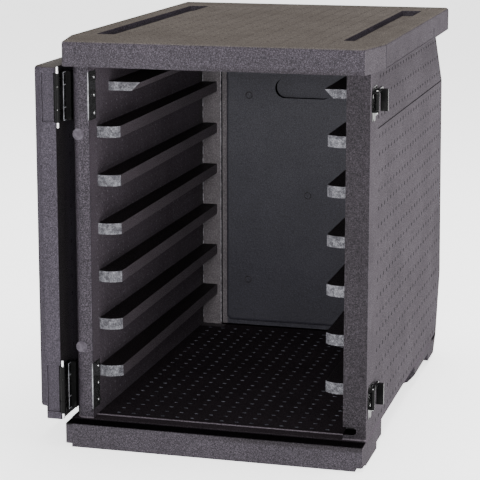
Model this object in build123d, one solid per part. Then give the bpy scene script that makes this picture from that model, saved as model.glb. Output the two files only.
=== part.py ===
from build123d import *

import os
from math import atan, degrees

# Insulated food carrier for 600 x 400 mm trays: a moulded foam box with tray runners, and a foam door
# on two pin hinges that folds right back along the left side and is held shut by two swing latches.
# Millimetres. +X is the carrier's right, +Y its back, +Z up. The origin is the centre of the base.
# Door pieces are drawn with the door shut and then turned about the pins to the folded-back position.

# ---- Foam body ----
HALF_DEPTH = 385.0
TOP_Z = 687.0
DECK_HALF = 268.0         # half width of the deck
DECK_UNDER_Z = 645.0
NOSE_HALF = 249.5         # half width of the deck's front edge
NOSE_END_Y = -295.0       # where the deck's slanted cheeks meet its straight sides
FRAME_Y = -352.0          # front faces of the door posts
SIDE_HALF = 254.5         # half width of the body at the posts
SIDE_SLOPE = 0.0112       # what each side gains per millimetre towards the back
REAR_PROFILE = [(300, 0), (335, 40), (372, 160), (345, 549), (332, DECK_UNDER_Z)]
CREASE_Z = 549.0          # above this the sides lean inwards
LEAN_START_Y = -291.0
LEAN = 13.0
REBATE_X = 247.0          # hinge rebate down the left front corner
REBATE_Y = -316.0
SILL_Z = 41.3
SILL_HALF = 255.0
BASE_CHAMFER_X = 212.0    # where the sloping finger grips leave the flat base

# ---- Tray space ----
MOUTH_HALF = 215.5
BACK_HALF = 206.0
BACK_Y = 288.0
FLOOR_Z = 44.0
FLOOR_EDGE_Y = -334.0
PANEL_HALF = 157.0        # raised panel of the back wall
PANEL_Y = 286.0
PANEL_GROOVE = 11.0
RUNNER_COUNT = 6
RUNNER_PITCH = 82.4
TOP_RUNNER_Z = 538.3
RUNNER_HALF = 176.5
RUNNER_THICK = 19.0
LEDGE_HALF = 158.6
LEDGE_Z = 605.3
LEDGE_THICK = 15.0
LEDGE_Y = -255.0

# ---- Door, drawn shut ----
DOOR_LEFT = -253.5
DOOR_RIGHT = 254.0
DOOR_FACE_Y = -379.0
DOOR_BACK_Y = -353.0
DOOR_LOW_Z = 43.5
DOOR_HIGH_Z = 643.0
PLUG_HALF = 212.5
PLUG_LOW_Z = 47.0
PLUG_HIGH_Z = 642.0
PLUG_DEPTH = 28.0
PLUG_DRAFT = 3.5

# ---- Hinges ----
PIN_X = -257.5
PIN_Y = -384.0
PIN_R = 2.25
RUNNING_GAP = 0.05
KNUCKLE_R = 4.3
KNUCKLE_GAP = 0.5
MIDDLE_HALF = 18.75
LEAF_HALF = 40.5
LEAF_THICK = 4.0
PLATE_THICK = 3.0
HINGE_LEVELS = {"upper": 592.5, "lower": 98.0}

# ---- Latches and catches ----
LATCH_X = 259.5           # pivot of the latch arms
LATCH_Y = -325.0
LATCH_PIN_R = 1.5
LATCH_HUB_R = 3.5
LATCH_HUB_HALF = 13.0
LATCH_PLATE_X = 255.6
ARM_HALF_THICK = 1.75
LATCH_LEVELS = {"upper": 597.0, "lower": 105.0}


def block(x0, x1, y0, y1, z0, z1):
    return Pos((x0 + x1) / 2, (y0 + y1) / 2, (z0 + z1) / 2) * Box(x1 - x0, y1 - y0, z1 - z0)


def prism_x(points, x0, x1):
    """Outline of (y, z) points carried along X."""
    return extrude(Plane.YZ.offset(x0) * Polygon(*points, align=None), x1 - x0, dir=(1, 0, 0))


def prism_y(points, y0, y1):
    """Outline of (x, z) points carried along Y."""
    return extrude(Plane.XZ.offset(-y0) * Polygon(*points, align=None), y1 - y0, dir=(0, 1, 0))


def prism_z(points, z0, z1):
    """Outline of (x, y) points carried upwards."""
    return extrude(Pos(0, 0, z0) * Polygon(*points, align=None), z1 - z0, dir=(0, 0, 1))


def rod_x(y, z, radius, x0, x1):
    return Pos((x0 + x1) / 2, y, z) * Rot(0, 90, 0) * Cylinder(radius, x1 - x0)


def rod_y(x, z, radius, y0, y1):
    return Pos(x, (y0 + y1) / 2, z) * Rot(90, 0, 0) * Cylinder(radius, y1 - y0)


def rod_z(x, y, radius, z0, z1):
    return Pos(x, y, (z0 + z1) / 2) * Cylinder(radius, z1 - z0)


def mirrored(shape):
    return shape.mirror(Plane.YZ)


def standing_edges(shape, x, y):
    """Vertical edges of a shape at one place in plan."""
    return [
        edge for edge in shape.edges().filter_by(Axis.Z)
        if abs(edge.center().X - x) < 0.5 and abs(edge.center().Y - y) < 0.5
    ]


def cut_all(shape, tools):
    for tool in tools:
        shape = shape - tool
    return shape


def group(shapes):
    """Separate solids kept together as one node."""
    return Compound([solid for shape in shapes for solid in shape.solids()])


# ---- Foam body ----
def wall_block():
    """Walls, base and posts as one solid block."""
    profile = [(FRAME_Y, 0), *REAR_PROFILE, (332, DECK_UNDER_Z + 5), (FRAME_Y, DECK_UNDER_Z + 5)]
    rear_half = SIDE_HALF + SIDE_SLOPE * (400 - FRAME_Y)
    plan = [(-SIDE_HALF, FRAME_Y), (SIDE_HALF, FRAME_Y), (rear_half, 400), (-rear_half, 400)]
    walls = prism_x(profile, -300, 300) & prism_z(plan, 0, 700)
    walls = fillet(standing_edges(walls, SIDE_HALF, FRAME_Y), 3)
    walls -= block(-300, -REBATE_X, FRAME_Y - 1, REBATE_Y, SILL_Z, 700)
    return fillet(standing_edges(walls, -REBATE_X, FRAME_Y), 15)


def side_lean():
    """What the right side loses above its crease, where it leans in under the deck."""
    section = [(0, CREASE_Z), (40, CREASE_Z), (40, DECK_UNDER_Z), (-LEAN, DECK_UNDER_Z)]
    run = LEAN_START_Y - FRAME_Y
    wedge = prism_y(section, run, 760)
    return Pos(SIDE_HALF, FRAME_Y, 0) * Rot(0, 0, -degrees(atan(SIDE_SLOPE))) * wedge


def underside_cuts():
    """Sloping finger grip under the right side, a step before it and a rounded foot behind it."""
    slope = prism_y([(BASE_CHAMFER_X, 0), (BASE_CHAMFER_X, -1), (300, -1), (300, 78.2)], -222, 98)
    front_step = block(240, 300, -262, -222, -1, 12)
    rear_step = block(240, 300, 245, 320, -1, 10)
    foot_round = prism_y([(222, -1), (222, 0), (247, 9), (262, 26), (300, 26), (300, -1)], 98, 246)
    return slope + front_step + rear_step + foot_round


def sill():
    """Sill that projects in front of the base, under the door."""
    shape = block(-SILL_HALF, SILL_HALF, -HALF_DEPTH, -345, 0, SILL_Z)
    for side in (-1, 1):
        shape = fillet(standing_edges(shape, side * SILL_HALF, -HALF_DEPTH), 5)
    nose = shape.edges().group_by(Axis.Y)[0].filter_by(Axis.X).sort_by(Axis.Z)[-1]
    shape = fillet(nose, 3)
    toe = block(SILL_HALF - 12, 300, -400, -340, -1, 6)
    return shape - toe - mirrored(toe)


def deck():
    """Top plate: slanted cheeks over the door, an overhang at the back and two stacking grooves."""
    plan = [
        (-NOSE_HALF, -HALF_DEPTH), (NOSE_HALF, -HALF_DEPTH), (DECK_HALF, NOSE_END_Y),
        (DECK_HALF, HALF_DEPTH), (-DECK_HALF, HALF_DEPTH), (-DECK_HALF, NOSE_END_Y),
    ]
    shape = prism_z(plan, DECK_UNDER_Z, TOP_Z)
    for side in (-1, 1):
        shape = fillet(standing_edges(shape, side * NOSE_HALF, -HALF_DEPTH), 8)
        shape = fillet(standing_edges(shape, side * DECK_HALF, HALF_DEPTH), 8)
    shape = fillet(shape.faces().sort_by(Axis.Z)[-1].edges(), 6)
    for side in (-1, 1):
        shape -= Pos(side * 211, 9.5, TOP_Z) * extrude(RectangleRounded(37, 561, 5), -10)
    line = block(DECK_HALF - 2.5, 300, NOSE_END_Y - 1, NOSE_END_Y + 1, DECK_UNDER_Z, TOP_Z)
    band = block(DECK_HALF - 0.8, 300, NOSE_END_Y + 8, 200, DECK_UNDER_Z + 2, DECK_UNDER_Z + 20)
    return cut_all(shape, [line, band, mirrored(line), mirrored(band)])


def cavity():
    """Tray space: walls that taper slightly towards the back, and a flat floor."""
    plan = [
        (-MOUTH_HALF, FRAME_Y - 1), (MOUTH_HALF, FRAME_Y - 1),
        (BACK_HALF, BACK_Y), (-BACK_HALF, BACK_Y),
    ]
    return prism_z(plan, FLOOR_Z, DECK_UNDER_Z)


def floor_ramp():
    """The floor's front edge falls to the sill."""
    section = [
        (FRAME_Y - 1, SILL_Z), (FLOOR_EDGE_Y, FLOOR_Z), (FLOOR_EDGE_Y, FLOOR_Z + 1),
        (FRAME_Y - 1, FLOOR_Z + 1),
    ]
    return prism_x(section, -MOUTH_HALF + 0.3, MOUTH_HALF - 0.3)


def back_panel():
    """Raised panel of the back wall, with its rounded rim."""
    panel = block(-PANEL_HALF, PANEL_HALF, PANEL_Y, BACK_Y + 11, FLOOR_Z + 10, DECK_UNDER_Z + 20)
    lower_corners = panel.edges().filter_by(Axis.Y).group_by(Axis.Z)[0]
    panel = fillet(lower_corners, 12)
    panel = fillet(panel.faces().sort_by(Axis.Y)[0].edges(), 6)
    return panel & block(-300, 300, 0, 400, 0, DECK_UNDER_Z + 1)


def back_panel_marks():
    """Grip pocket and round ejector marks in the raised panel."""
    face = Plane.XZ.offset(-PANEL_Y)
    cuts = extrude(face * Pos(0, 530) * SlotOverall(114, 39), -14)
    for x, z in ((-110, 514), (110, 514), (10, 318), (-111, 141)):
        cuts += rod_y(x, z, 6, PANEL_Y - 1, PANEL_Y + 0.8)
    return cuts


def post_marks():
    """Worn strip and drain notch on the right post, round ejector marks on the left one."""
    strip = block(241, 300, FRAME_Y - 1, FRAME_Y + 1.2, 150, 536)
    notch = extrude(Plane.XZ.offset(-FRAME_Y + 1) * Pos(221.5, 57) * SlotOverall(33, 13), -31)
    marks = rod_y(-235, 529, 10.5, FRAME_Y - 1, FRAME_Y + 0.8)
    marks += rod_y(-235, 166, 10.5, FRAME_Y - 1, FRAME_Y + 0.8)
    return strip + notch + marks


def body_foam():
    """The body's moulding without its runners, before the hardware is let in."""
    lean = side_lean()
    under = underside_cuts()
    shape = cut_all(wall_block(), [lean, mirrored(lean), under, mirrored(under)])
    shape = shape + sill() + deck()
    recess_half = PANEL_HALF + PANEL_GROOVE
    recess = block(-recess_half, recess_half, BACK_Y - 1, BACK_Y + 10, FLOOR_Z, DECK_UNDER_Z)
    shape = cut_all(shape, [cavity(), floor_ramp(), recess])
    shape += back_panel()
    shape += rod_x(FLOOR_EDGE_Y, FLOOR_Z, 2, -MOUTH_HALF - 1, MOUTH_HALF + 1)
    return cut_all(shape, [back_panel_marks(), post_marks()])


# ---- Tray runners ----
def right_rails():
    """Six runners and the short chamfered ledge above them."""
    front = ThreePointArc((221, -312), (197, -318), (RUNNER_HALF, -307))
    sides = Polyline((RUNNER_HALF, -307), (RUNNER_HALF, BACK_Y), (221, BACK_Y), (221, -312))
    plan = make_face(front + sides)
    space = cavity()
    solids = []
    for index in range(RUNNER_COUNT):
        low = TOP_RUNNER_Z - index * RUNNER_PITCH - RUNNER_THICK
        solids.append((Pos(0, 0, low) * extrude(plan, RUNNER_THICK, dir=(0, 0, 1))) & space)
    low = LEDGE_Z - LEDGE_THICK
    section = [(LEDGE_HALF, LEDGE_Z), (221, LEDGE_Z), (221, low), (LEDGE_HALF + LEDGE_THICK, low)]
    solids.append(prism_y(section, LEDGE_Y, BACK_Y) & space)
    return group(solids)


# ---- Door ----
def door_foam():
    """Door slab and the plug that fills the mouth, before the hardware is let in."""
    slab = block(DOOR_LEFT, DOOR_RIGHT, DOOR_FACE_Y, DOOR_BACK_Y, DOOR_LOW_Z, DOOR_HIGH_Z)
    slab = fillet(slab.edges().filter_by(Axis.Y), 4)
    slab = fillet(slab.faces().sort_by(Axis.Y)[0].edges(), 1.5)
    middle = (PLUG_LOW_Z + PLUG_HIGH_Z) / 2
    width = 2 * PLUG_HALF
    height = PLUG_HIGH_Z - PLUG_LOW_Z
    root_plane = Plane.XZ.offset(-DOOR_BACK_Y)
    crown_plane = Plane.XZ.offset(-DOOR_BACK_Y - PLUG_DEPTH)
    root = root_plane * Pos(0, middle) * RectangleRounded(width, height, 7)
    crown = crown_plane * Pos(0, middle) * RectangleRounded(
        width - 2 * PLUG_DRAFT, height - 2 * PLUG_DRAFT, 7)
    plug = loft([root, crown], ruled=True)
    plug = fillet(plug.faces().sort_by(Axis.Y)[-1].edges(), 3)
    shape = slab + plug
    for level in HINGE_LEVELS.values():
        shape -= block(
            DOOR_LEFT - 1, DOOR_LEFT + 2, DOOR_FACE_Y + 3.5, DOOR_BACK_Y - 2,
            level - LEAF_HALF, level + LEAF_HALF)
    return shape


# ---- Screws, drawn with the head at the origin and the point towards -Z ----
def countersunk(head_r, shank_r, length):
    sink = head_r - shank_r
    return Pos(0, 0, -sink / 2) * Cone(shank_r, head_r, sink) + Pos(0, 0, -length / 2) * Cylinder(
        shank_r, length)


def dome_head(head_r, head_height, shank_r, length):
    head = Pos(0, 0, head_height / 2) * Cylinder(head_r, head_height)
    head = fillet(head.edges().filter_by(GeomType.CIRCLE).sort_by(Axis.Z)[-1], head_height * 0.8)
    return head + Pos(0, 0, -length / 2) * Cylinder(shank_r, length)


# ---- Hinges ----
def hinge_body_leaf(level):
    """Flange on the rebate wall, a return past the corner, and an arm to the middle knuckle."""
    low = level - LEAF_HALF
    high = level + LEAF_HALF
    middle_low = level - MIDDLE_HALF
    middle_high = level + MIDDLE_HALF
    left = PIN_X - LEAF_THICK / 2
    right = PIN_X + LEAF_THICK / 2
    shape = block(-REBATE_X - LEAF_THICK, -REBATE_X, -350, -318, low, high)
    shape += block(left, -REBATE_X - LEAF_THICK + 1, -350, -350 + LEAF_THICK, low, high)
    shape += block(left, right, -362, -350 + LEAF_THICK, low, high)
    shape += block(left, right, PIN_Y, -350, middle_low, middle_high)
    shape += rod_z(PIN_X, PIN_Y, KNUCKLE_R, middle_low, middle_high)
    return shape - rod_z(PIN_X, PIN_Y, PIN_R, low, high)


def hinge_door_leaf(level):
    """Plate let into the door's face, with a web to each of the two outer knuckles."""
    low = level - LEAF_HALF
    high = level + LEAF_HALF
    shape = block(DOOR_LEFT, DOOR_LEFT + 41.5, DOOR_FACE_Y, DOOR_FACE_Y + 3.5, low, high)
    web = [
        (PIN_X + 1.5, PIN_Y - 4), (PIN_X + 11.5, DOOR_FACE_Y),
        (DOOR_LEFT, DOOR_FACE_Y + 3.5), (PIN_X - 3, PIN_Y + 3),
    ]
    inner_ends = ((low, level - MIDDLE_HALF - KNUCKLE_GAP), (level + MIDDLE_HALF + KNUCKLE_GAP, high))
    for z0, z1 in inner_ends:
        shape += prism_z(web, z0, z1) + rod_z(PIN_X, PIN_Y, KNUCKLE_R, z0, z1)
    return shape - rod_z(PIN_X, PIN_Y, PIN_R + RUNNING_GAP, low - 1, high + 1)


def hinge_pin(level):
    shape = rod_z(PIN_X, PIN_Y, PIN_R, level - 49.5, level + 51.5)
    return chamfer(shape.edges().filter_by(GeomType.CIRCLE), 0.6)


def hinge_clamp_plate(level):
    """Plate let into the reveal, that the post screws pull against."""
    return block(-217.2, -214.7, FRAME_Y, -319, level - LEAF_HALF, level + LEAF_HALF)


def hinge_post_screws(level):
    """Three screws from the clamp plate through the post into the body leaf."""
    screw = Rot(0, 90, 0) * dome_head(4, 2, 2, REBATE_X + LEAF_THICK - 214.7)
    return [Pos(-214.7, -326, level + offset) * screw for offset in (-30, 0, 30)]


def hinge_backing_plate(level):
    return block(
        -246, -220, DOOR_BACK_Y - PLATE_THICK, DOOR_BACK_Y, level - LEAF_HALF, level + LEAF_HALF)


def hinge_door_screws(level):
    """Three screws from the door leaf through the slab into the backing plate."""
    screw = Rot(90, 0, 0) * countersunk(4, 2, 25)
    return [Pos(-233, DOOR_FACE_Y, level + offset) * screw for offset in (-28, 0, 28)]


# ---- Latches ----
def latch_base(level):
    """Plate with a bowed front edge and a notched tail, and two ears for the arm's pin."""
    bow = ThreePointArc((-341, -19), (-346, 3), (-338, 25))
    rest = Polyline(
        (-338, 25), (-306, 25), (-298, 18), (-298, -24), (-316, -24), (-316, -31),
        (-328, -31), (-333, -26), (-341, -31), (-341, -19))
    outline = Pos(0, level) * make_face(bow + rest)
    shape = extrude(Plane.YZ.offset(252.5) * outline, LATCH_PLATE_X - 252.5, dir=(1, 0, 0))
    for side in (-1, 1):
        near = level + side * (LATCH_HUB_HALF + 0.3)
        far = near + side * 4
        low = min(near, far)
        high = max(near, far)
        shape += block(LATCH_PLATE_X - 1, LATCH_X, LATCH_Y - 3.5, LATCH_Y + 3.5, low, high)
        shape += rod_z(LATCH_X, LATCH_Y, 3.5, low, high)
    return shape - rod_z(LATCH_X, LATCH_Y, LATCH_PIN_R, level - 20, level + 20)


def latch_arm(level):
    """Open arm folded back along the wall, with a lip across its free end."""
    outline = [
        (0, -7), (0, 9), (9, 20), (42, 20), (46, 16), (46, -20), (40, -20),
        (40, 8), (36, 13), (18, 13), (12, 4), (9, -7),
    ]
    points = [(LATCH_Y + u, level + z) for u, z in outline]
    shape = prism_x(points, LATCH_X - ARM_HALF_THICK, LATCH_X + ARM_HALF_THICK)
    lip = block(LATCH_X + 1, LATCH_X + 10.5, LATCH_Y + 40, LATCH_Y + 46, level - 20, level + 16)
    shape += fillet(lip.edges().filter_by(Axis.Z).group_by(Axis.X)[-1], 1.5)
    shape += rod_z(LATCH_X, LATCH_Y, LATCH_HUB_R, level - LATCH_HUB_HALF, level + LATCH_HUB_HALF)
    bore = rod_z(LATCH_X, LATCH_Y, LATCH_PIN_R + RUNNING_GAP, level - 15, level + 15)
    return shape - bore


def latch_pin(level):
    return rod_z(LATCH_X, LATCH_Y, LATCH_PIN_R, level - 18.3, level + 18.3)


LATCH_SCREW_PLACES = ((-337.5, 10), (-301, -12))


def latch_screws(level):
    screw = Rot(0, 90, 0) * countersunk(3.2, 1.75, 26)
    return [Pos(LATCH_PLATE_X, y, level + z) * screw for y, z in LATCH_SCREW_PLACES]


def latch_anchors(level):
    """Plastic anchors moulded into the wall for the latch screws."""
    return [rod_x(y, level + z, 5, 228, 252.5) for y, z in LATCH_SCREW_PLACES]


# ---- Catches on the door's free edge, drawn with the door shut ----
def catch_block(level):
    return block(242, DOOR_RIGHT, DOOR_FACE_Y + 1.5, -356, level - 24, level + 24)


def catch_body(level):
    """Block with the slot that the latch arm's lip drops into."""
    return catch_block(level) - block(247.5, 260, -372.5, -364.6, level - 21.5, level + 21.5)


def catch_screws(level):
    screw = Rot(0, 90, 0) * countersunk(3.2, 1.75, 30)
    return [Pos(DOOR_RIGHT, -360.3, level + offset) * screw for offset in (-14, 14)]


def catch_anchors(level):
    return [rod_x(-360.3, level + offset, 5, 222, 242) for offset in (-14, 14)]


# ---- Assembly ----
def body_nodes():
    """Every node that stays with the body, with the foam cut to take its hardware."""
    nodes = {}
    foam = body_foam()
    for name, level in HINGE_LEVELS.items():
        leaf = hinge_body_leaf(level)
        clamp = hinge_clamp_plate(level)
        screws = hinge_post_screws(level)
        foam = cut_all(foam, [leaf, clamp, *screws])
        nodes[f"{name}_hinge_body_leaf"] = cut_all(leaf, screws)
        nodes[f"{name}_hinge_clamp_plate"] = cut_all(clamp, screws)
        nodes[f"{name}_hinge_post_screws"] = group(screws)
        nodes[f"{name}_hinge_pin"] = hinge_pin(level)
    for name, level in LATCH_LEVELS.items():
        base = latch_base(level)
        screws = latch_screws(level)
        anchors = latch_anchors(level)
        foam = cut_all(foam, [base, *anchors])
        nodes[f"{name}_latch_base"] = cut_all(base, screws)
        nodes[f"{name}_latch_pin"] = latch_pin(level)
        nodes[f"{name}_latch_screws"] = group(screws)
        nodes[f"{name}_latch_anchors"] = group([cut_all(anchor, screws) for anchor in anchors])
        nodes[f"{name}_latch_arm"] = latch_arm(level)
    rails = right_rails()
    nodes["right_rails"] = rails
    nodes["left_rails"] = mirrored(rails)
    nodes["body_shell"] = foam
    return nodes


def door_nodes():
    """Every node that swings with the door, drawn shut."""
    nodes = {}
    foam = door_foam()
    for name, level in HINGE_LEVELS.items():
        leaf = hinge_door_leaf(level)
        plate = hinge_backing_plate(level)
        screws = hinge_door_screws(level)
        foam = cut_all(foam, [leaf, plate, *screws])
        nodes[f"{name}_hinge_door_leaf"] = cut_all(leaf, screws)
        nodes[f"{name}_hinge_backing_plate"] = cut_all(plate, screws)
        nodes[f"{name}_hinge_door_screws"] = group(screws)
    for name, level in LATCH_LEVELS.items():
        screws = catch_screws(level)
        anchors = catch_anchors(level)
        foam = cut_all(foam, [catch_block(level), *anchors])
        nodes[f"{name}_catch"] = cut_all(catch_body(level), screws)
        nodes[f"{name}_catch_screws"] = group(screws)
        nodes[f"{name}_catch_anchors"] = group([cut_all(anchor, screws) for anchor in anchors])
    nodes["door_panel"] = foam
    return nodes


os.makedirs("parts", exist_ok=True)
hinge_axis = Axis((PIN_X, PIN_Y, 0), (0, 0, 1))
for name, shape in body_nodes().items():
    export_step(shape, f"parts/{name}.step")
for name, shape in door_nodes().items():
    export_step(shape.rotate(hinge_axis, 90), f"parts/{name}.step")
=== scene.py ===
import math

import bpy
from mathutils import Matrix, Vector


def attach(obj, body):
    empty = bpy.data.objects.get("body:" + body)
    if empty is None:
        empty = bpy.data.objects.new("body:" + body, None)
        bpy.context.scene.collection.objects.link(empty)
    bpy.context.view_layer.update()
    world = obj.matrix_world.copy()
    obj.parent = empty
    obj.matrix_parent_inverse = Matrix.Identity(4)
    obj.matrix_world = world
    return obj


# An insulated food carrier: foam body with tray runners, and a foam door folded back on its left side.
# Metres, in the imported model's own frame: +X to the carrier's right, -Y to its open front, +Z up.

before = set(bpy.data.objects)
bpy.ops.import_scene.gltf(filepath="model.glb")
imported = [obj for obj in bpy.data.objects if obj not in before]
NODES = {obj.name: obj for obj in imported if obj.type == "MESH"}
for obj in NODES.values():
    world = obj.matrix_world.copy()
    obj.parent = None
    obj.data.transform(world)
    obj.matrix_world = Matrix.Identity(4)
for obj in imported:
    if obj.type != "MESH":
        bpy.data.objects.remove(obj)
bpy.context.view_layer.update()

X = Vector((1, 0, 0))
Y = Vector((0, 1, 0))
Z = Vector((0, 0, 1))

FRONT_Y = -0.352            # front faces of the door posts
FLOOR_Z = 0.044             # the cavity's floor
DECK_Z = 0.687              # top of the deck
PANEL_Y = 0.286             # raised panel of the cavity's back wall
SIDE_HALF = 0.2545          # half width of the outside, at the front
SIDE_FLARE = 0.0112         # how much each side widens towards the back, per metre
CREASE_Z = 0.549            # height above which the sides lean in
SIDE_LEAN = 13 / 96         # how much they lean in, per metre of height
CAVITY_HALF = 0.2155        # half width of the cavity, at the front
CAVITY_TAPER = 0.0148       # how much each inner wall closes in towards the back, per metre
TOP_RUNNER_Z = 0.5383       # top of the highest runner
RUNNER_PITCH = 0.0824
DOOR_FACE_X = -0.2625       # outer face of the folded-back door
PLUG_FACE_X = -0.3165       # face of its plug
VENT_PITCH = 0.026          # spacing of the steam vents along a face
VENT_RISE = 0.030           # their spacing up a side
HINGE_LEVELS = {"upper": 0.5925, "lower": 0.098}    # height of each hinge's middle
LEAF_HALF = 0.0405          # half height of a hinge leaf


# ---- Materials ----
class Shader:
    """A material built node by node. Textures are laid in the piece's own coordinates, in metres."""

    def __init__(self, name):
        self.material = bpy.data.materials.new(name)
        self.material.use_nodes = True
        self.tree = self.material.node_tree
        self.tree.nodes.clear()
        self.surface = self.add("ShaderNodeBsdfPrincipled")
        output = self.add("ShaderNodeOutputMaterial")
        self.tree.links.new(self.surface.outputs["BSDF"], output.inputs["Surface"])
        coords = self.add("ShaderNodeTexCoord")
        self.place = coords.outputs["Object"]
        self.facing = coords.outputs["Normal"]
        self.bumps = None

    def add(self, kind, **settings):
        node = self.tree.nodes.new(kind)
        for key, value in settings.items():
            setattr(node, key, value)
        return node

    def feed(self, socket, value):
        """Link an output into a socket, or set the socket to a constant."""
        if isinstance(value, bpy.types.NodeSocket):
            self.tree.links.new(value, socket)
        elif isinstance(value, tuple) and len(value) == 3 and socket.type == "RGBA":
            socket.default_value = (*value, 1)
        else:
            socket.default_value = value

    def maths(self, operation, first, second=0.0):
        node = self.add("ShaderNodeMath", operation=operation)
        self.feed(node.inputs[0], first)
        self.feed(node.inputs[1], second)
        return node.outputs[0]

    def both(self, *masks):
        """Product of some masks: where all of them hold."""
        product = masks[0]
        for mask in masks[1:]:
            product = self.maths("MULTIPLY", product, mask)
        return product

    def either(self, *masks):
        """Largest of some masks: where any of them holds."""
        largest = masks[0]
        for mask in masks[1:]:
            largest = self.maths("MAXIMUM", largest, mask)
        return largest

    def near(self, value, centre, reach, fade):
        """Mask of the values within some reach of a centre."""
        distance = self.maths("ABSOLUTE", self.maths("SUBTRACT", value, centre))
        return self.spread(distance, reach - fade, reach, 1, 0)

    def spread(self, value, low, high, new_low=0.0, new_high=1.0):
        """Smooth, clamped change of range."""
        node = self.add("ShaderNodeMapRange", interpolation_type="SMOOTHSTEP")
        for socket, setting in zip(node.inputs, (value, low, high, new_low, new_high)):
            self.feed(socket, setting)
        return node.outputs[0]

    def stretched(self, stretch):
        node = self.add("ShaderNodeMapping")
        self.feed(node.inputs["Vector"], self.place)
        node.inputs["Scale"].default_value = stretch
        return node.outputs[0]

    def noise(self, scale, detail=3.0, rough=0.55, stretch=(1, 1, 1)):
        node = self.add("ShaderNodeTexNoise")
        self.feed(node.inputs["Vector"], self.stretched(stretch))
        self.feed(node.inputs["Scale"], scale)
        self.feed(node.inputs["Detail"], detail)
        self.feed(node.inputs["Roughness"], rough)
        return node.outputs[0]

    def cells(self, scale, feature="F1"):
        node = self.add("ShaderNodeTexVoronoi", feature=feature)
        self.feed(node.inputs["Vector"], self.place)
        self.feed(node.inputs["Scale"], scale)
        return node.outputs["Distance"]

    def blend(self, amount, first, second):
        node = self.add("ShaderNodeMix", data_type="RGBA")
        self.feed(node.inputs["Factor"], amount)
        self.feed(node.inputs["A"], first)
        self.feed(node.inputs["B"], second)
        return node.outputs["Result"]

    def bump(self, height, strength, distance):
        node = self.add("ShaderNodeBump")
        self.feed(node.inputs["Strength"], strength)
        self.feed(node.inputs["Distance"], distance)
        self.feed(node.inputs["Height"], height)
        if self.bumps is not None:
            self.feed(node.inputs["Normal"], self.bumps)
        self.bumps = node.outputs[0]

    def axes(self):
        """Position and facing along X, Y and Z."""
        place = self.add("ShaderNodeSeparateXYZ")
        facing = self.add("ShaderNodeSeparateXYZ")
        self.feed(place.inputs[0], self.place)
        self.feed(facing.inputs[0], self.facing)
        return list(place.outputs) + list(facing.outputs)

    def finish(self, colour, rough, metal=0.0, specular=0.5):
        self.feed(self.surface.inputs["Base Color"], colour)
        self.feed(self.surface.inputs["Roughness"], rough)
        self.feed(self.surface.inputs["Metallic"], metal)
        self.feed(self.surface.inputs["Specular IOR Level"], specular)
        if self.bumps is not None:
            self.feed(self.surface.inputs["Normal"], self.bumps)
        return self.material


FOAM_FACE = (0.0150, 0.0125, 0.0155)
FOAM_HEADER = (0.0285, 0.0245, 0.0305)
# Painted highlight of the front's rounded top edge.
FOAM_RIM_HIGHLIGHT = (0.0310, 0.0265, 0.0330)
FOAM_DECK = (0.0640, 0.0560, 0.0505)
FOAM_SIDE = (0.0580, 0.0520, 0.0585)
FOAM_INSIDE = (0.0580, 0.0490, 0.0580)
# Painted shade of the cavity's floor.
FOAM_FLOOR_PAINTED_SHADE = (0.0190, 0.0155, 0.0180)
FOAM_BACK = (0.0255, 0.0250, 0.0305)
FOAM_BACK_LOW = (0.0165, 0.0160, 0.0210)
FOAM_CORNER = (0.0560, 0.0500, 0.0540)
# Painted shade, for tops, hollows and rounded edges out of the light.
FOAM_PAINTED_SHADE = (0.0030, 0.0025, 0.0030)
RUNNER_SIDE = (0.062, 0.052, 0.060)
# Painted shade of the runners' tops.
RUNNER_TOP_PAINTED_SHADE = (0.010, 0.008, 0.009)
RUBBED_LOW = (0.045, 0.044, 0.050)
RUBBED_HIGH = (0.115, 0.114, 0.126)
DOOR_TONE = (0.0300, 0.0260, 0.0335)
DOOR_TOP = (0.036, 0.030, 0.026)
# Painted shade of the gap beside the hinges.
DOOR_PAINTED_SHADE = (0.0060, 0.0052, 0.0050)
PLAIN_GRAIN = (0.70, 1.65, 0.42)    # low, high and depth, as foam_grain takes them
PLAIN_GLOSS = 0.07
FRONT_GLOSS = 0.10


def foam_grain(shader, tone, low, high, depth):
    """Moulded bead foam over a tone: fused beads, rubbed patches and a leathery skin of some depth.

    The grain runs from a low to a high share of the tone.
    """
    beads = shader.cells(210)
    seams = shader.cells(210, "DISTANCE_TO_EDGE")
    skin = shader.noise(720, 2, 0.7)
    patches = shader.noise(9, 4, 0.6)
    gain = shader.spread(skin, 0.40, 0.66, low, high)
    gain = shader.maths("MULTIPLY", gain, shader.spread(patches, 0.3, 0.7, 0.91, 1.09))
    gain = shader.maths("MULTIPLY", gain, shader.spread(seams, 0.0, 0.14, low, 1))
    scaled = shader.add("ShaderNodeVectorMath", operation="SCALE")
    shader.feed(scaled.inputs[0], tone)
    shader.feed(scaled.inputs["Scale"], gain)
    shader.bump(beads, depth, 0.0007)
    shader.bump(skin, depth, 0.0018)
    rough = shader.spread(skin, 0.35, 0.65, 0.66, 0.40)
    return scaled.outputs[0], rough


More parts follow.
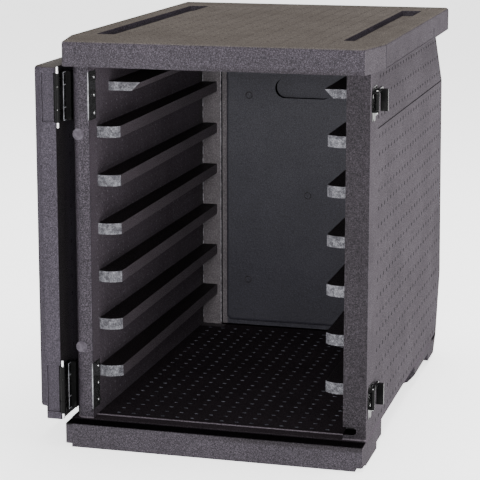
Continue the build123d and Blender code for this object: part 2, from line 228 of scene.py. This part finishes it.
def body_foam():
    """The body's foam, with a tone for each region of the moulding, and painted light and shade on some
    regions.
    """
    shader = Shader("body_foam")
    x, y, z, nx, ny, nz = shader.axes()
    across = shader.maths("ABSOLUTE", x)
    upward = shader.spread(nz, 0.5, 0.8)
    facing_front = shader.spread(ny, -0.8, -0.4, 1, 0)

    on_deck = shader.both(upward, shader.spread(z, 0.670, 0.676))
    rebate = shader.both(shader.spread(x, -0.230, -0.226, 1, 0), shader.spread(y, -0.318, -0.312, 1, 0),
                         shader.spread(z, 0.640, 0.646, 1, 0))
    on_side = shader.both(shader.spread(shader.maths("ABSOLUTE", nx), 0.7, 0.95),
                          shader.spread(across, 0.238, 0.242), shader.maths("SUBTRACT", 1, rebate))
    hollow = shader.both(shader.spread(across, 0.2150, 0.2165, 1, 0), shader.spread(y, -0.3515, -0.350),
                         shader.spread(y, 0.300, 0.305, 1, 0), shader.spread(z, 0.6455, 0.647, 1, 0),
                         shader.spread(z, 0.040, 0.0405))
    notch = shader.both(shader.near(x, 0.222, 0.0175, 0.0005), shader.spread(y, -0.3515, -0.351),
                        shader.near(z, 0.057, 0.0072, 0.0004))
    threshold = shader.both(shader.spread(y, -0.360, -0.3515), shader.spread(z, 0.035, 0.0405),
                            shader.spread(z, 0.0440, 0.0445, 1, 0))
    within = shader.either(hollow, notch, threshold)
    at_back = shader.both(within, shader.both(shader.spread(y, 0.27, 0.28), facing_front))
    beside_panel = shader.spread(across, 0.156, 0.160)
    corner = shader.both(within, shader.both(shader.spread(y, 0.262, 0.268), beside_panel))
    recessed = shader.both(shader.spread(y, 0.2862, 0.2866), shader.spread(ny, -0.8, -0.4))
    wear_and_painted_light = shader.either(shader.spread(z, 0.640, 0.655), shader.spread(z, 0.030, 0.036, 1, 0),
                           shader.spread(x, -0.1, 0.1, 1, 0), shader.spread(y, -0.30, -0.28))
    sill_top = shader.both(upward, shader.spread(z, 0.046, 0.048, 1, 0))
    rounded = shader.both(shader.spread(x, -0.2465, -0.2385, 1, 0), rebate, shader.spread(z, 0.036, 0.040))

    # Painted light: the header, the bottom edge, the left half and the faces further back take the lighter
    # header tone.
    tone = shader.blend(wear_and_painted_light, FOAM_FACE, FOAM_HEADER)
    # Painted highlight along the front's rounded top edge.
    tone = shader.blend(shader.spread(z, 0.660, 0.686), tone, FOAM_RIM_HIGHLIGHT)
    # Painted shade on the sill's top face.
    tone = shader.blend(sill_top, tone, FOAM_PAINTED_SHADE)
    # Painted shade over the left post's rounded edge and the rebate beside it.
    tone = shader.blend(rounded, tone, FOAM_PAINTED_SHADE)
    tone = shader.blend(on_deck, tone, FOAM_DECK)
    tone = shader.blend(on_side, tone, FOAM_SIDE)
    tone = shader.blend(within, tone, FOAM_INSIDE)
    # Painted shade: the cavity's floor is darkened.
    tone = shader.blend(shader.both(within, shader.spread(nz, 0.6, 0.9)), tone, FOAM_FLOOR_PAINTED_SHADE)
    tone = shader.blend(at_back, tone, shader.blend(shader.spread(z, 0.10, 0.50), FOAM_BACK_LOW, FOAM_BACK))
    tone = shader.blend(corner, tone, FOAM_CORNER)
    # Painted shade on the walls of the back wall's recesses.
    tone = shader.blend(shader.both(within, recessed), tone, FOAM_PAINTED_SHADE)
    # Painted shade in the small notch of the front.
    tone = shader.blend(notch, tone, FOAM_PAINTED_SHADE)

    smooth = shader.either(on_deck, on_side, within)
    low = shader.spread(smooth, 0, 1, 0.54, 0.76)
    high = shader.spread(smooth, 0, 1, 2.05, 1.55)
    colour, rough = foam_grain(shader, tone, low, high, shader.spread(smooth, 0, 1, 0.65, 0.36))
    gloss = shader.both(shader.spread(ny, -0.9, -0.5, 1, 0), FRONT_GLOSS)
    return shader.finish(colour, rough, specular=gloss)


def runner_foam():
    """The runners' foam: darker on top than along the sides, where the top is painted shade; pale and
    coarse on the rubbed ends.
    """
    shader = Shader("runner_foam")
    _, y, _, _, ny, nz = shader.axes()
    at_end = shader.both(shader.spread(y, -0.20, -0.21), shader.spread(ny, -0.30, -0.12, 1, 0))
    wear_and_painted_light = shader.blend(shader.spread(shader.noise(120, 3, 0.7), 0.35, 0.65), RUBBED_LOW, RUBBED_HIGH)
    length = shader.blend(shader.spread(nz, 0.5, 0.9), RUNNER_SIDE, RUNNER_TOP_PAINTED_SHADE)
    tone = shader.blend(at_end, length, wear_and_painted_light)
    colour, rough = foam_grain(shader, tone, *PLAIN_GRAIN)
    return shader.finish(colour, rough, specular=PLAIN_GLOSS)


def door_foam():
    """The door's foam: browner on its upward faces, with painted shade on the outer face beside the hinges.
    """
    shader = Shader("door_foam")
    _, y, _, nx, _, nz = shader.axes()
    tone = shader.blend(shader.spread(nz, 0.5, 0.9), DOOR_TONE, DOOR_TOP)
    hinge_gap_painted_shade = shader.both(shader.spread(nx, 0.5, 0.9), shader.spread(y, -0.350, -0.310, 0.85, 0))
    # Painted shade in the narrow gap beside the hinges.
    tone = shader.blend(hinge_gap_painted_shade, tone, DOOR_PAINTED_SHADE)
    colour, rough = foam_grain(shader, tone, *PLAIN_GRAIN)
    return shader.finish(colour, rough, specular=PLAIN_GLOSS)


def shared(share, colour):
    """A share of a colour."""
    return tuple(share * channel for channel in colour)


def black_plastic(name, share):
    """Moulded black plastic with an orange-peel skin and hairline scuffs; the share scales its tone."""
    shader = Shader(name)
    scuff = shader.noise(160, 3, 0.6, (1, 1, 9))
    dust = shader.noise(45, 4, 0.6)
    colour = shader.blend(shader.spread(scuff, 0.55, 0.75, 0, 0.5), shared(share, (0.003, 0.003, 0.003)),
                          shared(share, (0.009, 0.009, 0.010)))
    shader.bump(shader.noise(600, 2, 0.5), 0.12, 0.0004)
    rough = shader.spread(dust, 0.35, 0.65, 0.16, 0.30)
    return shader.finish(colour, rough, specular=0.055)


def bright_steel(name, share):
    """Plain steel with fine turning lines and light tarnish; the share scales how bright it is."""
    shader = Shader(name)
    lines = shader.noise(900, 2, 0.6, (1, 1, 0.15))
    tarnish = shader.noise(120, 3, 0.6)
    colour = shader.blend(shader.spread(tarnish, 0.4, 0.7, 0, 0.6), shared(share, (0.70, 0.70, 0.71)),
                          shared(share, (0.38, 0.37, 0.36)))
    shader.bump(lines, 0.15, 0.0002)
    rough = shader.spread(tarnish, 0.35, 0.65, 0.22, 0.40)
    return shader.finish(colour, rough, metal=1.0)


def anchor_plastic():
    """Dull natural plastic of the buried anchors."""
    shader = Shader("anchor_plastic")
    mottle = shader.noise(200, 3, 0.6)
    colour = shader.blend(mottle, (0.20, 0.20, 0.21), (0.36, 0.36, 0.37))
    shader.bump(mottle, 0.2, 0.0004)
    return shader.finish(colour, shader.spread(mottle, 0.3, 0.7, 0.45, 0.65))


def vent_skin(name, low, high, gloss=0.0):
    """Small marks of a smooth skin between two tones: the steam vents' moulding marks, and also painted
    highlights and painted shade.
    """
    shader = Shader(name)
    mottle = shader.noise(140, 3, 0.6)
    colour = shader.blend(shader.spread(mottle, 0.35, 0.65), low, high)
    shader.bump(shader.noise(700, 2, 0.5), 0.2, 0.0003)
    return shader.finish(colour, shader.spread(mottle, 0.3, 0.7, 0.35, 0.6), specular=gloss)


def dress(ending, material):
    """Give every CAD node whose name ends this way its material."""
    for name, piece in NODES.items():
        if name.endswith(ending):
            piece.data.materials.clear()
            piece.data.materials.append(material)


PLASTIC = black_plastic("black_plastic", 1.0)
STEEL = bright_steel("bright_steel", 1.0)
dress("body_shell", body_foam())
dress("_rails", runner_foam())
dress("door_panel", door_foam())
dress(("leaf", "backing_plate", "latch_base", "latch_arm", "catch"), PLASTIC)
# A paler copy of the black plastic, at six times its tone.
dress("clamp_plate", black_plastic("paler_black_plastic", 6.0))
dress(("pin", "screws"), STEEL)
# The steel at about a third of its brightness.
dress("hinge_post_screws", bright_steel("dimmer_steel", 0.35))
dress("anchors", anchor_plastic())


# ---- Moulding marks, painted highlights and painted shade ----
def link_mesh(name, verts, faces):
    """A new object of some vertices and faces, in the scene."""
    mesh = bpy.data.meshes.new(name)
    mesh.from_pydata(verts, [], faces)
    mesh.update()
    piece = bpy.data.objects.new(name, mesh)
    bpy.context.scene.collection.objects.link(piece)
    return piece


def vent_marks(name, places, across, along, out, half_width, half_length, height):
    """One mesh of small rounded marks at the given places, standing out of a surface."""
    ring = [(1, 0.55), (0.55, 1), (-0.55, 1), (-1, 0.55), (-1, -0.55), (-0.55, -1), (0.55, -1), (1, -0.55)]
    verts = []
    faces = []
    for place in places:
        first = len(verts)
        for lift, size in ((-0.5, 1.0), (0.6, 1.0), (1.0, 0.7)):
            for a, b in ring:
                sideways = across * (a * half_width * size)
                lengthways = along * (b * half_length * (size + 1) / 2)
                verts.append(place + sideways + lengthways + out * (height * lift))
        for start in (first, first + 8):
            for i in range(8):
                j = (i + 1) % 8
                faces.append((start + i, start + j, start + 8 + j, start + 8 + i))
        faces.append(tuple(first + 16 + i for i in range(8)))
    return link_mesh(name, verts, faces)


def side_half(y, z):
    """Half width of the body's outside at one place."""
    return SIDE_HALF + SIDE_FLARE * (y - FRONT_Y) - max(0.0, z - CREASE_Z) * SIDE_LEAN


def cavity_half(y):
    """Half width of the cavity at one depth."""
    return CAVITY_HALF - CAVITY_TAPER * (y - FRONT_Y)


def rear_edge(z):
    """Depth of the body's rear edge at one height: it bulges out above the foot, then leans in."""
    if z < 0.16:
        return 0.335 + 0.037 * (z - 0.04) / 0.12
    return 0.372 - 0.027 * (z - 0.16) / 0.389


def floor_vents():
    """Rows of short marks across the cavity's floor."""
    places = []
    for row in range(23):
        y = -0.316 + VENT_PITCH * row
        for column in range(-8, 9):
            x = VENT_PITCH * column
            if abs(x) < cavity_half(y) - 0.010:
                places.append(Vector((x, y, FLOOR_Z)))
    return vent_marks("floor_vents", places, X, Y, Z, 0.0034, 0.0016, 0.0006)


def side_vents(name, side):
    """Columns of upright marks on one outer side, up to the deck's rim."""
    places = []
    for column in range(25):
        y = -0.276 + VENT_PITCH * column
        for row in range(20):
            z = 0.055 + VENT_RISE * row
            if y < rear_edge(z) - 0.012 and z < 0.634:
                places.append(Vector((side * side_half(y, z), y, z)))
    return vent_marks(name, places, Y, Z, X * side, 0.0013, 0.0032, 0.0004)


def inner_wall_vents(name, side):
    """Faint marks on one inner wall, between the runners."""
    runner_depth = 0.023
    places = []
    for column in range(23):
        y = -0.320 + VENT_PITCH * column
        for row in range(38):
            z = 0.060 + VENT_RISE / 2 * row
            if (TOP_RUNNER_Z - z) % RUNNER_PITCH > runner_depth and z < 0.585:
                places.append(Vector((side * cavity_half(y), y, z)))
    return vent_marks(name, places, Y, Z, X * -side, 0.0012, 0.0014, 0.0003)


def door_vents(name, x, out):
    """Columns of marks on one broad face of the folded-back door."""
    places = []
    for column in range(17):
        for row in range(19):
            places.append(Vector((x, -0.318 + VENT_PITCH * column, 0.070 + VENT_RISE * row)))
    return vent_marks(name, places, Y, Z, out, 0.0013, 0.0032, 0.0003)


def crease_shade_line(name, side):
    """Dark line along the crease of one outer side, of overlapping short marks: painted shade of the
    crease.
    """
    places = []
    for step in range(158):
        y = -0.288 + 0.004 * step
        places.append(Vector((side * side_half(y, CREASE_Z), y, CREASE_Z)))
    return vent_marks(name, places, Y, Z, X * side, 0.0032, 0.0009, 0.0004)


def corner_highlight_lines():
    """Pale lines up the cavity's back corners, painted highlights of the edges: solid at the panel's
    groove, broken at the wall.
    """
    places = []
    for side in (-1, 1):
        for step in range(74):
            z = 0.052 + 0.008 * step
            places.append(Vector((side * 0.1684, 0.2878, z)))
            if step % 3:
                places.append(Vector((side * 0.2054, 0.2876, z)))
    return vent_marks("corner_highlight_lines", places, X, Z, -Y, 0.0006, 0.0041, 0.0004)


def ejector_marks():
    """Round ejector marks on the left post, each a low disc with a soft edge."""
    places = [(-0.235, 0.529), (-0.235, 0.166)]
    verts = []
    faces = []
    for x, z in places:
        first = len(verts)
        verts.append(Vector((x, -0.3517, z)))
        for radius, y in ((0.0070, -0.3517), (0.0094, -0.3516), (0.0100, -0.3511)):
            for i in range(32):
                angle = math.tau * i / 32
                verts.append(Vector((x + radius * math.cos(angle), y, z + radius * math.sin(angle))))
        for i in range(32):
            j = (i + 1) % 32
            faces.append((first, first + 1 + i, first + 1 + j))
            for start in (first + 1, first + 33):
                faces.append((start + i, start + 32 + i, start + 32 + j, start + j))
    return link_mesh("ejector_marks", verts, faces)


def deck_vents():
    """Faint marks over the deck, clear of its stacking grooves."""
    places = []
    for row in range(28):
        y = -0.340 + VENT_PITCH * row
        for column in range(-9, 10):
            x = VENT_PITCH * column
            if abs(x) < 0.186 or y > 0.300 and abs(x) < 0.250:
                places.append(Vector((x, y, DECK_Z)))
    return vent_marks("deck_vents", places, X, Y, Z, 0.0026, 0.0012, 0.0003)


def tool_marks():
    """Small raised rings round the ejector marks of the back wall."""
    radius = 0.0064
    places = []
    for x, z in ((-0.110, 0.514), (0.110, 0.514), (0.010, 0.318), (-0.111, 0.141)):
        for i in range(24):
            angle = math.tau * i / 24
            offset = Vector((radius * math.cos(angle), 0, radius * math.sin(angle)))
            places.append(Vector((x, PANEL_Y - 0.0001, z)) + offset)
    return vent_marks("tool_marks", places, X, Z, -Y, 0.0010, 0.0010, 0.0004)


def hinge_highlight_strips():
    """Pale strips of painted highlight: along the edge of each clamp plate, and the front edge and ticks of
    each body leaf.
    """
    leaf_x = -0.2553
    highlight_strips = []
    for end, level in HINGE_LEVELS.items():
        clamp = [Vector((-0.2163, FRONT_Y - 0.0001, level))]
        highlight_strips.append(vent_marks(f"{end}_clamp_rim_highlight", clamp, X, Z, -Y, 0.0009, LEAF_HALF - 0.0010, 0.0005))
        leaf = [Vector((leaf_x, -0.3618, level))]
        highlight_strips.append(vent_marks(f"{end}_leaf_rim_highlight", leaf, Y, Z, X, 0.0007, LEAF_HALF - 0.0005, 0.0004))
        ticks = [Vector((leaf_x, -0.3560, level + offset)) for offset in (-0.0397, -0.0188, 0.0188, 0.0397)]
        highlight_strips.append(vent_marks(f"{end}_leaf_tick_highlights", ticks, Z, Y, X, 0.0006, 0.0054, 0.0004))
    return highlight_strips


FLOOR_MARK = vent_skin("floor_mark", (0.030, 0.030, 0.037), (0.080, 0.080, 0.095))
WALL_MARK = vent_skin("wall_mark", (0.060, 0.052, 0.062), (0.095, 0.085, 0.100))
# Dark marks: the vents, and also the painted shade of the side creases.
SIDE_MARK_AND_CREASE_SHADE = vent_skin("side_mark", (0.010, 0.009, 0.010), (0.022, 0.020, 0.022))
DECK_MARK = vent_skin("deck_mark", (0.032, 0.028, 0.025), (0.048, 0.042, 0.038))
# Pale strips of painted highlight.
PAINTED_EDGE_HIGHLIGHT = vent_skin("painted_edge_highlight", (0.10, 0.095, 0.105), (0.24, 0.23, 0.25))
DISC_MARK = vent_skin("disc_mark", (0.042, 0.037, 0.045), (0.070, 0.063, 0.075))
# Pale, slightly glossy strips of painted highlight.
RIM_PAINTED_HIGHLIGHT = vent_skin("rim_painted_highlight", (0.10, 0.10, 0.11), (0.24, 0.24, 0.26), 0.3)
BODY_MARKS = (
    (floor_vents(), FLOOR_MARK),
    (side_vents("right_side_vents", 1), SIDE_MARK_AND_CREASE_SHADE),
    (side_vents("left_side_vents", -1), SIDE_MARK_AND_CREASE_SHADE),
    (inner_wall_vents("right_inner_vents", 1), WALL_MARK),
    (inner_wall_vents("left_inner_vents", -1), WALL_MARK),
    # Painted shade along each side's crease.
    (crease_shade_line("right_crease_line", 1), SIDE_MARK_AND_CREASE_SHADE),
    (crease_shade_line("left_crease_line", -1), SIDE_MARK_AND_CREASE_SHADE),
    # Painted highlights up the cavity's back corners.
    (corner_highlight_lines(), PAINTED_EDGE_HIGHLIGHT),
    (ejector_marks(), DISC_MARK),
    (deck_vents(), DECK_MARK),
    (tool_marks(), SIDE_MARK_AND_CREASE_SHADE),
)
for piece, material in BODY_MARKS:
    piece.data.materials.append(material)
    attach(piece, "carrier_body")
for piece in (door_vents("door_face_vents", DOOR_FACE_X, X), door_vents("plug_vents", PLUG_FACE_X, -X)):
    piece.data.materials.append(SIDE_MARK_AND_CREASE_SHADE)
    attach(piece, "door")
# Painted highlights along the hinges' edges.
for piece in hinge_highlight_strips():
    piece.data.materials.append(RIM_PAINTED_HIGHLIGHT)
    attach(piece, "carrier_body")


# ---- Stage, light and camera ----
def stage_floor():
    """A wide pale floor that glows a little, so that it stays pale under soft light."""
    reach = 30
    corners = [(-reach, -reach, 0), (reach, -reach, 0), (reach, reach, 0), (-reach, reach, 0)]
    piece = link_mesh("stage_floor", corners, [(0, 1, 2, 3)])
    shader = Shader("stage_floor")
    shader.feed(shader.surface.inputs["Emission Color"], (1.0, 1.0, 1.0))
    shader.feed(shader.surface.inputs["Emission Strength"], 1.9)
    piece.data.materials.append(shader.finish((0.9, 0.9, 0.9), 0.9, specular=0.1))


def area_light(name, place, target, size, power):
    data = bpy.data.lights.new(name, "AREA")
    data.shape = "SQUARE"
    data.size = size
    data.energy = power
    light = bpy.data.objects.new(name, data)
    light.location = place
    light.rotation_euler = (Vector(target) - Vector(place)).to_track_quat("-Z", "Y").to_euler()
    bpy.context.scene.collection.objects.link(light)


stage_floor()
area_light("front_light", (0.5, -4.6, 1.0), (0, 0, 0.35), 1.2, 290)
area_light("right_light", (4.2, 0.4, 1.5), (0, 0, 0.35), 2.2, 150)
area_light("top_light", (0.2, 0.6, 3.8), (0, 0, 0.4), 2.2, 190)

world = bpy.data.worlds.new("studio")
world.use_nodes = True
background = world.node_tree.nodes["Background"]
background.inputs["Color"].default_value = (1, 1, 1, 1)
background.inputs["Strength"].default_value = 0.7
bpy.context.scene.world = world

camera_data = bpy.data.cameras.new("camera")
camera_data.lens = 133.95
camera_data.sensor_width = 36
camera_data.shift_y = -0.1
camera = bpy.data.objects.new("camera", camera_data)
camera.location = (0.773, -3.095, 0.993)
camera.rotation_euler = (math.radians(79.09), 0, math.radians(14.93))
bpy.context.scene.collection.objects.link(camera)
bpy.context.scene.camera = camera
